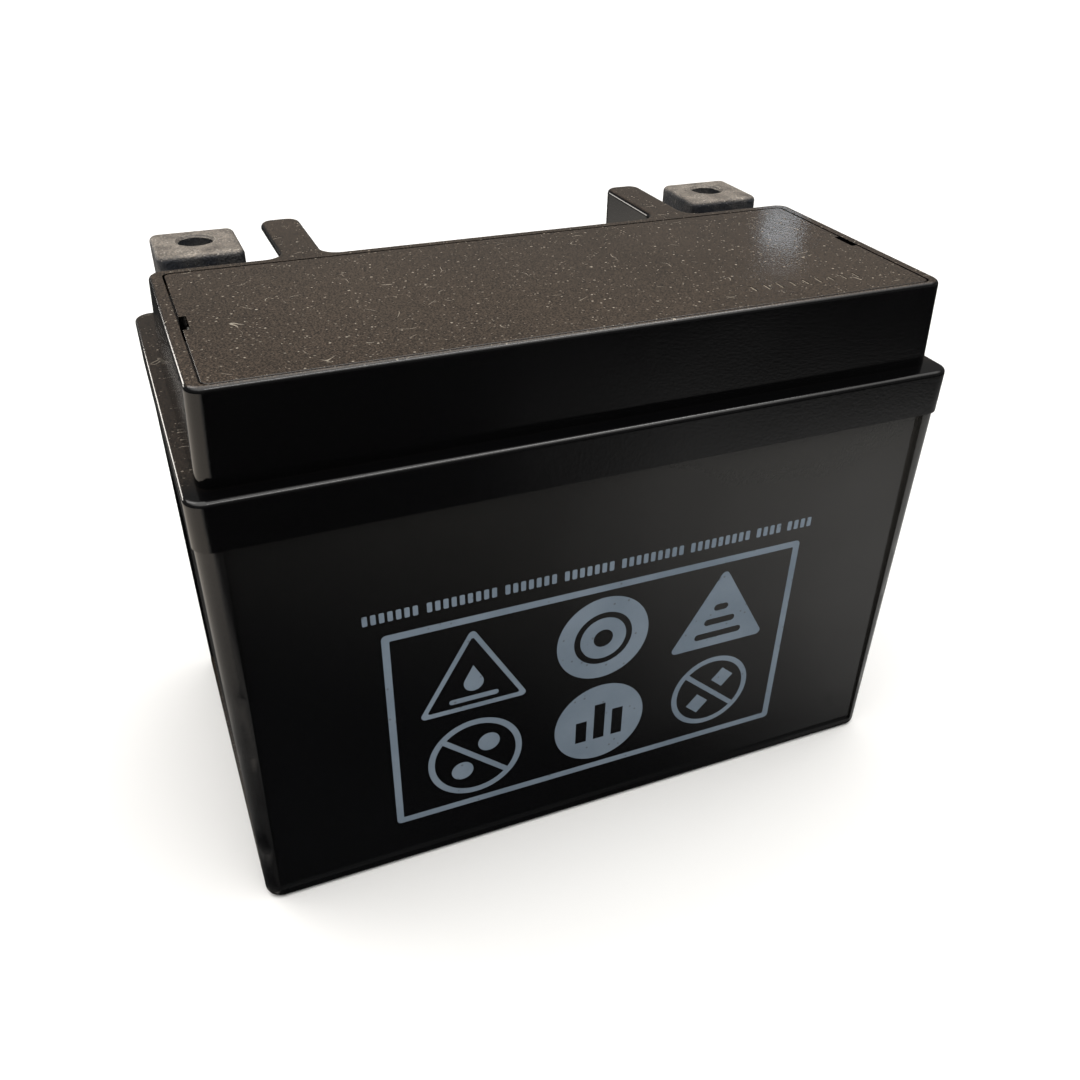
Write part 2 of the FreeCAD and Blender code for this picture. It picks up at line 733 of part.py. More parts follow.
def make_terminal(name, side):
    """A cast lead block with a bolt hole, a slot for the nut and a shank down into the cell."""
    body = new_body(f"{name}_terminal", f"{side} * {TERMINAL_OFFSET}")
    outline = rectangle(
        body,
        "XY_Plane",
        ("0", TERMINAL_MIDDLE, f"{SHOULDER} + {{still_gap}}"),
        ("{terminal_width}", "{terminal_depth}"),
        "{terminal_corner}",
    )
    block = pad(body, outline, "{plateau_height} - {still_gap}")
    height = value(TOP)
    fillet(body, block, "{terminal_round}", lambda edge: flat_at(edge, height))
    stem_top = f"({SHOULDER} + {{overlap}})"
    stem = circle(body, "XY_Plane", ("0", TERMINAL_MIDDLE, stem_top), "{shank_radius}")
    pad(body, stem, f"{stem_top} - {STRAP_TOP} - {{still_gap}}", backwards=True)
    slot = rectangle(
        body,
        "XZ_Plane",
        ("0", f"{SLOT_TOP} - {SLOT_HEIGHT} / 2", f"-{TERMINAL_REAR}"),
        (SLOT_WIDTH, SLOT_HEIGHT),
    )
    pocket(body, slot, f"{TERMINAL_REAR} - {SLOT_FRONT}", backwards=True)
    hole = circle(body, "XY_Plane", ("0", BORE_MIDDLE, TOP), "{bore_radius}")
    bore = pocket(body, hole, f"{{terminal_plate}} + {SLOT_HEIGHT} + {{bore_relief}}")
    radius = value("{bore_radius}")

    def is_mouth(edge):
        return flat_at(edge, height) and near(edge.BoundBox.XLength, 2 * radius)

    chamfer(body, bore, "{bore_chamfer}", is_mouth)


def make_nut(name, side):
    """A square nut lying in its terminal's slot."""
    body = new_body(f"{name}_terminal_nut", f"{side} * {TERMINAL_OFFSET}", BORE_MIDDLE)
    outline = rectangle(
        body, "XY_Plane", ("0", "0", NUT_FLOOR), ("{nut_width}", "{nut_width}"), "{nut_chamfer}"
    )
    pad(body, outline, "{nut_height}")
    hole = circle(body, "XY_Plane", ("0", "0", f"{NUT_FLOOR} + {{nut_height}}"), "{nut_bore}")
    bore = pocket(body, hole, "{nut_height}")
    radius = value("{nut_bore}")
    chamfer(
        body,
        bore,
        "{nut_chamfer}",
        lambda edge: near(edge.BoundBox.ZLength, 0) and near(edge.BoundBox.XLength, 2 * radius),
    )


def make_terminal_seal(name, side):
    """The O-ring round a shank, below the potting."""
    ring = doc.addObject("Part::Torus", f"{name}_terminal_seal")
    ring.Label = f"{name}_terminal_seal"
    bind(ring, "Radius1", "({bush_radius} + {shank_radius}) / 2")
    bind(ring, "Radius2", "({bush_radius} - {shank_radius}) / 2 - {still_gap}")
    bind(ring, "Placement.Base.x", f"{side} * {TERMINAL_OFFSET}")
    bind(ring, "Placement.Base.y", TERMINAL_MIDDLE)
    bind(
        ring,
        "Placement.Base.z",
        f"{DECK_UNDER} - {{potting_height}} - ({{bush_radius}} - {{shank_radius}}) / 2 - {{still_gap}}",
    )


def make_terminal_potting(name, side):
    """The resin ring that locks a shank in its bush."""
    body = new_body(
        f"{name}_terminal_potting",
        f"{side} * {TERMINAL_OFFSET}",
        TERMINAL_MIDDLE,
        f"{DECK_UNDER} - {{still_gap}} - {{potting_height}}",
    )
    outside = circle(body, "XY_Plane", ("0", "0", "0"), "{bush_radius} - {still_gap}")
    pad(body, outside, "{potting_height}")
    inside = circle(
        body, "XY_Plane", ("0", "0", "{potting_height}"), "{shank_radius} + {still_gap}"
    )
    pocket(body, inside, "{potting_height}")


def make_plate_group(name, number, polarity_side, row_sign):
    """One polarity of one cell: a cast strap, its plates and, where cells join, an upright flag."""
    body = new_body(f"{name}_plates_{number}", f"{FIRST_CELL} - {number - 1} * {CELL_PITCH}")
    row = f"({row_sign} * {TERMINAL_MIDDLE})"
    strap = rectangle(
        body, "XY_Plane", ("0", row, STRAP_BOTTOM), (STRAP_LENGTH, "{strap_depth}")
    )
    pad(body, strap, "{strap_thickness}")
    thickness = f"{{{name}_thickness}}"
    count = PLATE_COUNT[name]
    bottom = PLATE_BOTTOM[name]
    first = f"(-({count} - 1) / 2 * {PLATE_SPACING} - {thickness} / 2)"
    lug = rectangle(
        body,
        "YZ_Plane",
        (row, f"{PLATE_TOP} + {{lug_height}} / 2", first),
        ("{lug_width}", "{lug_height} + 2 * {overlap}"),
    )
    tab = pad(body, lug, thickness)
    grid = rectangle(
        body,
        "YZ_Plane",
        ("0", f"({PLATE_TOP} + {bottom}) / 2", first),
        (PLATE_DEPTH, f"{PLATE_TOP} - {bottom}"),
    )
    plate = pad(body, grid, thickness)
    row_along_x(body, [tab, plate], PLATE_SPACING, count)
    is_last = number == (1 if name == "positive" else int(value("{cell_count}")))
    if not is_last:
        add_flag(body, row, polarity_side)


def add_flag(body, row, side):
    """The upright end of a strap that is welded through the partition."""
    reach = f"({CELL_WIDTH} / 2 - {{still_gap}})"
    root = "({strap_thickness} / 2)"
    flag = rectangle(
        body,
        "YZ_Plane",
        (
            row,
            f"{STRAP_TOP} + ({{flag_height}} - {root}) / 2",
            f"{side} * {reach}",
        ),
        ("{strap_depth}", f"{{flag_height}} + {root}"),
    )
    pad(body, flag, "{flag_thickness}", backwards=side > 0)


def make_separators(number):
    """The glass-mat sheets of one cell, each folded round the foot of a positive plate."""
    body = new_body(f"separators_{number}", f"{FIRST_CELL} - {number - 1} * {CELL_PITCH}")
    spacing = PLATE_SPACING
    inner = "({positive_thickness} + 2 * {still_gap})"
    outer = f"({inner} + 2 * {{separator_thickness}})"
    bottom = "({case_floor} + {still_gap})"
    top = f"({PLATE_TOP} + {{separator_overhang}})"
    first = f"(-({POSITIVE_COUNT} - 1) / 2 * {spacing})"
    sheet_depth = f"({PLATE_DEPTH} + {{separator_overhang}})"
    wrap = rectangle(
        body,
        "XZ_Plane",
        (first, f"({top} + {bottom}) / 2", f"-{sheet_depth} / 2"),
        (outer, f"{top} - {bottom}"),
    )
    fold = pad(body, wrap, sheet_depth)
    space = rectangle(
        body,
        "XZ_Plane",
        (
            first,
            f"({top} + {{overlap}} + {bottom} + {{separator_thickness}}) / 2",
            f"-{sheet_depth} / 2",
        ),
        (inner, f"{top} + {{overlap}} - {bottom} - {{separator_thickness}}"),
    )
    gap = pocket(body, space, sheet_depth, backwards=True)
    row_along_x(body, [fold, gap], spacing, POSITIVE_COUNT)


def make_intercell_welds():
    """Five lead welds, one through each partition."""
    welds = []
    for index in range(int(value("{cell_count}")) - 1):
        weld = doc.addObject("Part::Cylinder", f"weld_{index + 1}")
        bind(weld, "Radius", "{weld_radius}")
        bind(weld, "Height", "{partition}")
        weld.Placement.Rotation = FreeCAD.Rotation(FreeCAD.Vector(0, 1, 0), QUARTER_TURN)
        bind(weld, "Placement.Base.x", f"{partition_x(index)} - {{partition}} / 2")
        bind(weld, "Placement.Base.y", weld_side(index))
        bind(weld, "Placement.Base.z", WELD_HEIGHT)
        welds.append(weld)
    group = doc.addObject("Part::Compound", "intercell_welds")
    group.Label = "intercell_welds"
    group.Links = welds


def make_cell(number):
    """The plates and separators of one cell. Neighbouring cells face opposite ways."""
    positive_row = 1 if number % 2 == 1 else -1
    make_plate_group("positive", number, 1, positive_row)
    make_plate_group("negative", number, -1, -positive_row)
    make_separators(number)


def failures():
    """Every object that the last recompute left failed, and every cut that removed nothing."""
    found = []
    for item in doc.Objects:
        if "Invalid" in item.State or "Error" in item.State:
            found.append(f"{item.Label} of {item.TypeId}: {item.State}")
        if item.TypeId == "PartDesign::Pocket" and item.BaseFeature:
            removed = item.BaseFeature.Shape.Volume - item.Shape.Volume
            if removed <= 0:
                found.append(f"{item.Label} cuts nothing")
    return found


def sub_parts():
    """The objects that are pieces of the battery."""
    groups = [item for item in doc.Objects if item.TypeId == "Part::Compound"]
    inner = {link.Name for group in groups for link in group.Links}
    kinds = ("PartDesign::Body", "Part::Box", "Part::Torus", "Part::Compound")
    return [item for item in doc.Objects if item.TypeId in kinds and item.Name not in inner]


def main():
    """Build every piece, check it and write one STEP file for each."""
    make_case()
    make_cover()
    make_vent_cover()
    for number in range(1, int(value("{cell_count}")) + 1):
        make_valve_cap(number)
        make_cell(number)
    for end, side in (("left", -1), ("right", 1)):
        make_vent_filter(f"vent_filter_{end}", side)
    for name, side in SIDES.items():
        make_terminal(name, side)
        make_nut(name, side)
        make_terminal_seal(name, side)
        make_terminal_potting(name, side)
    make_intercell_welds()
    doc.recompute()
    problems = failures()
    pieces = sub_parts()
    for piece in pieces:
        if piece.Shape.isNull() or not piece.Shape.isValid():
            problems.append(f"{piece.Label} has no valid shape")
    if problems:
        raise RuntimeError("\n".join(problems))
    os.makedirs("parts", exist_ok=True)
    for piece in pieces:
        piece.Shape.exportStep(os.path.join("parts", f"{piece.Label}.step"))
        print(piece.Label, len(piece.Shape.Solids), round(piece.Shape.Volume, 1))


main()
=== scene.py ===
"""Motorcycle battery: finishes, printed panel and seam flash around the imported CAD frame."""

import math
import random

import bmesh
import bpy
from mathutils import Euler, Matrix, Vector, noise


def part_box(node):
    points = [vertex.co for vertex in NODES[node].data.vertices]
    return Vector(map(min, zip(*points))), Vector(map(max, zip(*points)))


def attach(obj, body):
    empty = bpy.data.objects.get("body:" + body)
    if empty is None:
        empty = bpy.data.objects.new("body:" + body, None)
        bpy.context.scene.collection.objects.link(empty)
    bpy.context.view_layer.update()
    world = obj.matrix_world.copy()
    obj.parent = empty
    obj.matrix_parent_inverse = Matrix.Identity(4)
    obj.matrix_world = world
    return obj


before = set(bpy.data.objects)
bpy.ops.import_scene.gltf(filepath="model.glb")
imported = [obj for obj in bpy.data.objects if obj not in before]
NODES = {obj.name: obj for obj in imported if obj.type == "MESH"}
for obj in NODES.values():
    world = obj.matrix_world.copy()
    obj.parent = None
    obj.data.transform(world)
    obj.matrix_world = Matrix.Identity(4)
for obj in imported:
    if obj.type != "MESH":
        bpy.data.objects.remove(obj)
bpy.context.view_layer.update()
MM = 0.001


# ---------------------------------------------------------------- material graph helpers


class Graph:
    """Short ways to add nodes to the tree of a material or a world."""

    def __init__(self, tree, kind):
        self.tree = tree
        self.coordinates = self.add("TexCoord")
        self.place = self.coordinates.outputs[kind]

    def add(self, kind, settings=None, **inputs):
        node = self.tree.nodes.new("ShaderNode" + kind)
        for key, item in (settings or {}).items():
            setattr(node, key, item)
        for key, item in inputs.items():
            self.feed(node.inputs[key.replace("_", " ")], item)
        return node

    def feed(self, socket, item):
        if isinstance(item, bpy.types.NodeSocket):
            self.tree.links.new(item, socket)
        else:
            socket.default_value = item

    def math(self, operation, first, second=0.0):
        node = self.add("Math", {"operation": operation})
        self.feed(node.inputs[0], first)
        self.feed(node.inputs[1], second)
        return node.outputs[0]

    def ramp(self, item, low, high, to_low=0.0, to_high=1.0):
        """A smooth step from to_low at low to to_high at high, and level outside them."""
        node = self.add("MapRange", {"interpolation_type": "SMOOTHSTEP"})
        for index, part in enumerate((item, low, high, to_low, to_high)):
            self.feed(node.inputs[index], part)
        return node.outputs[0]

    def mix(self, share, first, second):
        node = self.add("Mix", {"data_type": "RGBA"})
        self.feed(node.inputs[0], share)
        self.feed(node.inputs[6], first)
        self.feed(node.inputs[7], second)
        return node.outputs[2]

    def moved(self, offset, stretch=(1, 1, 1), turn=(0, 0, 0)):
        """The coordinates that one texture uses."""
        node = self.add("Mapping", Vector=self.place, Location=offset, Rotation=turn, Scale=stretch)
        return node.outputs[0]

    def noise(self, scale, detail=3.0, stretch=(1, 1, 1), turn=(0, 0, 0), seed=0.0):
        where = self.moved((seed, seed * 0.7, seed * 1.3), stretch, turn)
        return self.add("TexNoise", Vector=where, Scale=scale, Detail=detail).outputs["Fac"]

    def grains(self, scale, radius, keep, seed=0.0):
        """Small separate grains: a share of the cells each hold one, smaller than the cell."""
        where = self.moved((seed, seed * 0.6, seed * 1.1))
        cells = self.add("TexVoronoi", Vector=where, Scale=scale)
        chance = self.add("SeparateColor", Color=cells.outputs["Color"])
        kept = self.math("LESS_THAN", chance.outputs[0], keep)
        size = self.math("MULTIPLY", chance.outputs[1], radius)
        core = self.math("MULTIPLY", size, 0.45)
        inside = self.ramp(cells.outputs["Distance"], core, size, 1.0, 0.0)
        return self.math("MULTIPLY", kept, inside)

    def fibres(self, scale, width, patch_scale, keep):
        """Short curled hairs: level lines of a noise, seen only in a share of small patches."""
        away = self.math("ABSOLUTE", self.math("SUBTRACT", self.noise(scale, 0.0, seed=3.0), 0.5))
        line = self.ramp(away, width * 0.4, width, 1.0, 0.0)
        return self.math("MULTIPLY", line, self.grains(patch_scale, 0.62, keep, seed=4.0))

    def bump(self, height, strength, distance, under=None):
        node = self.add("Bump", Strength=strength, Distance=distance, Height=height)
        if under is not None:
            self.feed(node.inputs["Normal"], under)
        return node.outputs["Normal"]


class Finish(Graph):
    """A node material with one Principled shader."""

    def __init__(self, name):
        self.material = bpy.data.materials.new(name)
        self.material.use_nodes = True
        super().__init__(self.material.node_tree, "Object")
        self.shader = self.tree.nodes["Principled BSDF"]
        self.facing = self.add("SeparateXYZ", Vector=self.coordinates.outputs["Normal"])

    def finish(self, **sockets):
        for key, item in sockets.items():
            self.feed(self.shader.inputs[key.replace("_", " ")], item)
        return self.material


def rgb(red, green, blue):
    return (red, green, blue, 1.0)


# ---------------------------------------------------------------- finishes


DUST = rgb(0.074, 0.055, 0.040)
SPECK = rgb(0.42, 0.37, 0.30)
# Painted reflection: the brownish colour that the upright walls are lightened towards.
REFLECTION_TINT = rgb(0.046, 0.044, 0.040)
COVER_LOW, COVER_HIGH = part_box("cover")

# Dust thickens upwards between these depths below the top. On the shoulder, where it is thinner,
# it thickens backwards between these distances from the front.
DUST_DEPTHS = (14.0 * MM, 5.0 * MM)
WIPED_REACH = (3.0 * MM, 13.5 * MM)
SHOULDER_DUST = 0.60
ENGRAVED_FILL = 0.1 * MM


def moulded_plastic(name, shade, gloss, dust, painted_reflection=0.0, engraved=None):
    """Glossy black polypropylene: slow ripples, fine scuffs, and a thin film of dust on what faces up.

    The front of the shoulder has been wiped, so little dust lies there. The painted reflection is a
    lighter brownish patch painted on the upright walls, in uneven patches, strongest towards the top
    of the positive end. Marks cut below the engraved height are full of pale dust.
    """
    g = Finish(name)
    where = g.add("SeparateXYZ", Vector=g.place)
    up = g.ramp(g.facing.outputs["Z"], 0.72, 0.985)
    front = [COVER_LOW.y + reach for reach in WIPED_REACH]
    wiped = g.ramp(where.outputs["Y"], *front, 0.0, SHOULDER_DUST)
    plateau = g.ramp(where.outputs["Z"], *(COVER_HIGH.z - depth for depth in DUST_DEPTHS))
    settled = g.math("MULTIPLY", up, g.math("MAXIMUM", plateau, wiped))
    laid = g.math("MULTIPLY", settled, dust)
    drift = g.ramp(g.noise(38, 4), 0.3, 0.7, 0.82, 1.0)
    fine = g.ramp(g.noise(2800, 2), 0.35, 0.65, 0.25, 1.15)
    film = g.math("MULTIPLY", laid, g.math("MULTIPLY", drift, fine))
    faint = g.math("MULTIPLY", g.grains(1150, 0.34, 0.7, seed=6.0), 0.5)
    small = g.math("MAXIMUM", g.grains(700, 0.24, 0.6, seed=1.0), faint)
    large = g.math("MAXIMUM", g.grains(230, 0.10, 0.40, seed=2.0), g.fibres(230, 0.012, 260, 0.5))
    specks = g.math("MAXIMUM", small, large)
    if engraved:
        filled = g.ramp(where.outputs["Z"], engraved, engraved - ENGRAVED_FILL)
        specks = g.math("MAXIMUM", specks, filled)
    litter = g.math("MULTIPLY", specks, laid)
    lighter = tuple(1.5 * part for part in shade[:3]) + (1.0,)
    tint = g.mix(g.ramp(g.noise(9, 2, seed=5.0), 0.35, 0.65), shade, lighter)
    # Painted reflection: the upright walls lighten in uneven patches towards the top of the positive
    # end.
    if painted_reflection:
        along = g.math("MULTIPLY", where.outputs["X"], 5.0)
        slope = g.math("ADD", along, g.math("MULTIPLY", where.outputs["Z"], 9.0))
        patches = g.ramp(g.noise(26, 3, seed=9.0), 0.25, 0.6, 0.7, 1.0)
        reflection_patch = g.math("MULTIPLY", g.ramp(slope, 0.1, 1.15), patches)
        tint = g.mix(g.math("MULTIPLY", reflection_patch, painted_reflection), tint, REFLECTION_TINT)
    scuffs = g.ramp(g.noise(300, 5, (1, 0.06, 0.5), (0.3, 0.5, 0.4), seed=6.0), 0.62, 0.78)
    colour = g.mix(film, tint, DUST)
    colour = g.mix(g.math("MULTIPLY", litter, 0.8), colour, SPECK)
    rough = g.math("ADD", gloss, g.math("MULTIPLY", scuffs, 0.07))
    rough = g.math("ADD", rough, g.math("MULTIPLY", film, 0.03))
    rough = g.math("ADD", rough, g.ramp(g.noise(60, 3, seed=7.0), 0.3, 0.8, 0.0, 0.05))
    ripples = g.bump(g.noise(22, 1, seed=8.0), 0.5, 0.0012)
    pile = g.math("ADD", g.noise(1800, 2), g.math("MULTIPLY", litter, 1.6))
    relief = g.bump(pile, 0.16, 0.00010, ripples)
    return g.finish(Base_Color=colour, Roughness=rough, Normal=relief)


def cast_lead(name):
    """Lead: a pale top and dark bluish sides, which are painted light and shade; paler edges, partly
    wear and partly a painted highlight; painted glints; fine casting grain and small pits.
    """
    g = Finish(name)
    up = g.ramp(g.facing.outputs["Z"], 0.25, 0.95)
    grain = g.noise(2300, 4)
    cloud = g.ramp(g.noise(230, 4, seed=2.0), 0.3, 0.7)
    pits = g.grains(700, 0.4, 0.35, seed=3.0)
    rounded = g.add("Bevel", {"samples": 8}, Radius=0.0009)
    plain = g.add("NewGeometry")
    along = g.add("VectorMath", {"operation": "DOT_PRODUCT"})
    g.feed(along.inputs[0], rounded.outputs[0])
    g.feed(along.inputs[1], plain.outputs["True Normal"])
    edge = g.ramp(along.outputs["Value"], 0.99, 0.90)
    # Paler edges: partly wear, partly a painted edge highlight.
    worn_edge_highlight = g.math("MULTIPLY", edge, g.ramp(g.noise(420, 3, seed=4.0), 0.35, 0.6))
    # Painted light and shade: the top is painted pale as if lit, and the sides dark and bluish as if
    # shaded.
    shaded_side = g.mix(cloud, rgb(0.026, 0.031, 0.042), rgb(0.100, 0.096, 0.094))
    lit_top = g.mix(cloud, rgb(0.175, 0.150, 0.126), rgb(0.330, 0.288, 0.243))
    colour = g.mix(up, shaded_side, lit_top)
    colour = g.mix(g.ramp(grain, 0.38, 0.62, 0.55, 0.0), colour, rgb(0.03, 0.03, 0.032))
    # Painted glints: pale grains, most of them on faces that look up.
    glint_share = g.ramp(up, 0.0, 1.0, 0.25, 0.75)
    painted_glints = g.math("MULTIPLY", g.grains(1500, 0.42, 0.55, seed=5.0), glint_share)
    colour = g.mix(painted_glints, colour, rgb(0.52, 0.48, 0.42))
    colour = g.mix(g.math("MULTIPLY", worn_edge_highlight, 0.75), colour, rgb(0.46, 0.42, 0.36))
    colour = g.mix(g.math("MULTIPLY", pits, 0.5), colour, rgb(0.05, 0.05, 0.05))
    rough = g.math("SUBTRACT", g.ramp(grain, 0.3, 0.7, 0.42, 0.62), g.math("MULTIPLY", worn_edge_highlight, 0.12))
    height = g.math("SUBTRACT", grain, g.math("MULTIPLY", pits, 0.8))
    relief = g.bump(height, 0.7, 0.00035)
    return g.finish(Base_Color=colour, Roughness=rough, Metallic=0.35, Normal=relief)


def plated_steel(name):
    """Bright plate with fine level lines."""
    g = Finish(name)
    lines = g.noise(900, 3, (1, 1, 14))
    cloud = g.ramp(g.noise(300, 3, seed=1.0), 0.3, 0.7)
    colour = g.mix(cloud, rgb(0.50, 0.50, 0.49), rgb(0.62, 0.61, 0.57))
    rough = g.ramp(lines, 0.3, 0.7, 0.24, 0.42)
    relief = g.bump(lines, 0.2, 0.0001)
    return g.finish(Base_Color=colour, Roughness=rough, Metallic=1.0, Normal=relief)


def soft_black(name):
    """Matt black rubber."""
    g = Finish(name)
    cloud = g.ramp(g.noise(260, 4), 0.3, 0.7)
    colour = g.mix(cloud, rgb(0.012, 0.012, 0.013), rgb(0.035, 0.033, 0.031))
    rough = g.ramp(g.noise(1400, 3), 0.3, 0.7, 0.6, 0.82)
    relief = g.bump(g.noise(1700, 3), 0.3, 0.0001)
    return g.finish(Base_Color=colour, Roughness=rough, Normal=relief)


def cast_resin(name):
    """Dark potting resin with a glossy, slightly wavy face."""
    g = Finish(name)
    cloud = g.ramp(g.noise(180, 4), 0.3, 0.7)
    colour = g.mix(cloud, rgb(0.02, 0.021, 0.03), rgb(0.045, 0.045, 0.058))
    rough = g.ramp(g.noise(500, 3, seed=1.0), 0.3, 0.7, 0.12, 0.3)
    relief = g.bump(g.noise(160, 2), 0.4, 0.0004)
    return g.finish(Base_Color=colour, Roughness=rough, Normal=relief)


def pressed_fibre(name, dark, light, scale):
    """Felt or glass mat: two layers of crossed fibres."""
    g = Finish(name)
    first = g.noise(scale, 4, (1, 6, 1), (0, 0, 0.5))
    second = g.noise(scale, 4, (6, 1, 3), (0.4, 0, -0.4), seed=2.0)
    weave = g.math("MAXIMUM", first, second)
    colour = g.mix(g.ramp(weave, 0.4, 0.7), dark, light)
    rough = g.ramp(weave, 0.3, 0.7, 0.98, 0.82)
    relief = g.bump(weave, 0.6, 0.0003)
    return g.finish(Base_Color=colour, Roughness=rough, Normal=relief, Sheen_Weight=0.2)


def pasted_plate(name, dark, light):
    """The cured paste of a battery plate, cloudy and full of pores."""
    g = Finish(name)
    cloud = g.ramp(g.noise(120, 5), 0.3, 0.7)
    pores = g.grains(1400, 0.5, 0.5)
    colour = g.mix(cloud, dark, light)
    colour = g.mix(g.math("MULTIPLY", pores, 0.5), colour, dark)
    rough = g.ramp(g.noise(900, 3, seed=1.0), 0.3, 0.7, 0.6, 0.9)
    relief = g.bump(g.noise(1100, 4), 0.5, 0.0003)
    return g.finish(Base_Color=colour, Roughness=rough, Normal=relief)


def pad_ink(name):
    """Pale grey screen ink: slightly uneven cover, tiny gaps and a satin face."""
    g = Finish(name)
    cloud = g.ramp(g.noise(70, 4), 0.3, 0.7)
    gaps = g.grains(900, 0.32, 0.22, seed=1.0)
    colour = g.mix(cloud, rgb(0.130, 0.172, 0.220), rgb(0.165, 0.210, 0.262))
    colour = g.mix(g.math("MULTIPLY", gaps, 0.6), colour, rgb(0.03, 0.032, 0.036))
    rough = g.ramp(g.noise(1100, 3, seed=2.0), 0.3, 0.7, 0.38, 0.55)
    relief = g.bump(g.noise(1600, 2), 0.15, 0.00008)
    return g.finish(Base_Color=colour, Roughness=rough, Normal=relief)


def engraved_height():
    """Just below the top face of the vent cover."""
    _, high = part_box("vent_cover")
    return high.z - 0.03 * MM


CASE_BLACK = rgb(0.0016, 0.0017, 0.0021)
COVER_BLACK = rgb(0.0012, 0.0012, 0.0014)
VENT_BLACK = rgb(0.0020, 0.0018, 0.0017)
FINISHES = {
    # The case's upright walls carry a painted reflection.
    "case_plastic": moulded_plastic("case_plastic", CASE_BLACK, 0.12, 0.9, painted_reflection=0.45),
    "cover_plastic": moulded_plastic("cover_plastic", COVER_BLACK, 0.08, 0.95),
    "vent_cover_plastic": moulded_plastic(
        "vent_cover_plastic", VENT_BLACK, 0.06, 1.0, engraved=engraved_height()
    ),
    "terminal_lead": cast_lead("terminal_lead"),
    "nut_steel": plated_steel("nut_steel"),
    "rubber": soft_black("rubber"),
    "resin": cast_resin("resin"),
    "felt": pressed_fibre("felt", rgb(0.42, 0.40, 0.35), rgb(0.72, 0.70, 0.64), 900),
    "positive_plate": pasted_plate("positive_plate", rgb(0.055, 0.022, 0.013), rgb(0.14, 0.06, 0.035)),
    "negative_plate": pasted_plate("negative_plate", rgb(0.16, 0.165, 0.175), rgb(0.30, 0.305, 0.32)),
    "glass_mat": pressed_fibre("glass_mat", rgb(0.62, 0.62, 0.60), rgb(0.86, 0.86, 0.84), 1200),
}


def dress_cad_nodes():
    """Each CAD node takes the finish of its own material slot."""
    for node in NODES.values():
        for slot in node.material_slots:
            slot.material = FINISHES[slot.material.name.split(".")[0]]


# ---------------------------------------------------------------- pieces


def add_piece(name, mesh, finish, body="root"):
    piece = bpy.data.objects.new(name, mesh)
    bpy.context.scene.collection.objects.link(piece)
    mesh.materials.clear()
    mesh.materials.append(finish)
    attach(piece, body)
    return piece


def arc(middle, radius, start=0.0, end=2 * math.pi, steps=72):
    """Points on a circle. A full turn leaves its last point out."""
    closed = abs(end - start - 2 * math.pi) < 1e-6
    count = steps if closed else steps + 1
    turns = (start + (end - start) * i / steps for i in range(count))
    return [(middle[0] + radius * math.cos(a), middle[1] + radius * math.sin(a)) for a in turns]


def box_loop(middle, width, height, turn=0.0):
    """A rectangle, turned about its middle."""
    corners = [(-1, -1), (1, -1), (1, 1), (-1, 1)]
    points = [(u * width / 2, v * height / 2) for u, v in corners]
    cosine, sine = math.cos(turn), math.sin(turn)
    return [
        (middle[0] + cosine * u - sine * v, middle[1] + sine * u + cosine * v) for u, v in points
    ]


def pill_loop(middle, width, height):
    """A bar with round ends."""
    radius = height / 2
    reach = width / 2 - radius
    right = arc((middle[0] + reach, middle[1]), radius, -math.pi / 2, math.pi / 2, 10)
    left = arc((middle[0] - reach, middle[1]), radius, math.pi / 2, 3 * math.pi / 2, 10)
    return right + left


def rounded_loop(middle, width, height, radius):
    """A rectangle with rounded corners."""
    points = []
    for turn, (u, v) in enumerate(((1, 1), (-1, 1), (-1, -1), (1, -1))):
        corner = (middle[0] + u * (width / 2 - radius), middle[1] + v * (height / 2 - radius))
        points += arc(corner, radius, turn * math.pi / 2, (turn + 1) * math.pi / 2, 6)
    return points


def triangle_loop(low, width, height, radius):
    """A triangle on its base, with rounded corners, from the middle of the base."""
    corners = [
        Vector((low[0] - width / 2, low[1])),
        Vector((low[0] + width / 2, low[1])),
        Vector((low[0], low[1] + height)),
    ]
    points = []
    for index, corner in enumerate(corners):
        to_last = (corners[index - 1] - corner).normalized()
        to_next = (corners[(index + 1) % 3] - corner).normalized()
        half = to_last.angle(to_next) / 2
        middle = corner + (to_last + to_next).normalized() * radius / math.sin(half)
        start = corner + to_last * radius / math.tan(half) - middle
        sweep = math.pi - 2 * half
        first = math.atan2(start.y, start.x)
        points += arc(middle, radius, first, first + sweep, 8)
    return points


def segment_loop(middle, radius, turn, gap):
    """The part of a disc on one side of a bar that crosses it."""
    trim = math.asin(gap / radius)
    return arc(middle, radius, turn + trim, turn + math.pi - trim, 40)


def drop_loop(middle, radius):
    """A drop with its point up."""
    round_part = arc(middle, radius, math.radians(150), math.radians(390), 30)
    return round_part + [(middle[0], middle[1] + 2.1 * radius)]


